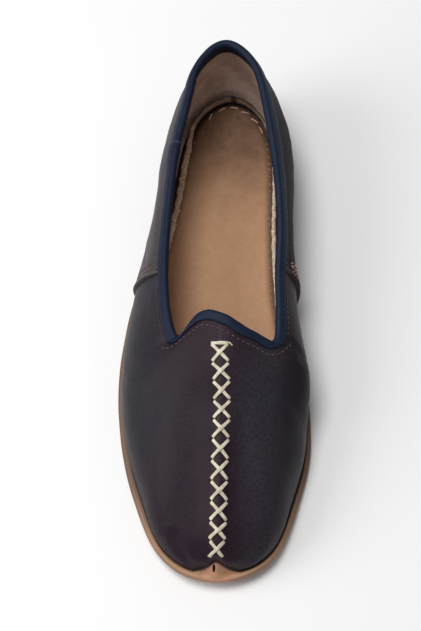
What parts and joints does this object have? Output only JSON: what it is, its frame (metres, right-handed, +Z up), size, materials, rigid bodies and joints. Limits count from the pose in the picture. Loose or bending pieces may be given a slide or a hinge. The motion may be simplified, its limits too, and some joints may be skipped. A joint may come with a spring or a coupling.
{
  "type": "slip-on leather shoe",
  "caption": "Right low slip-on leather shoe with a bound collar, a swooping throat, a cross-laced centre line, a notched toe and a flat leather sole with a low heel.",
  "frame": {"origin": "on the floor, under the middle of the shoe's footprint box", "axes": "+Z up, +Y from toe to heel along the shoe's length, +X towards the inner (big toe) side"},
  "size_m": [0.1037, 0.2897, 0.0687],
  "materials": {
    "upper_leather": "waxed satin",
    "binding_leather": "satin",
    "insole_leather": "raw, matte",
    "sole_leather": "burnished edge, satin",
    "heel_leather": "satin"
  },
  "bodies": {
    "root": {"upper": "upper_leather", "collar_binding": "binding_leather", "insole": "insole_leather", "outsole": "sole_leather", "heel": "heel_leather"}
  },
  "joints": []
}
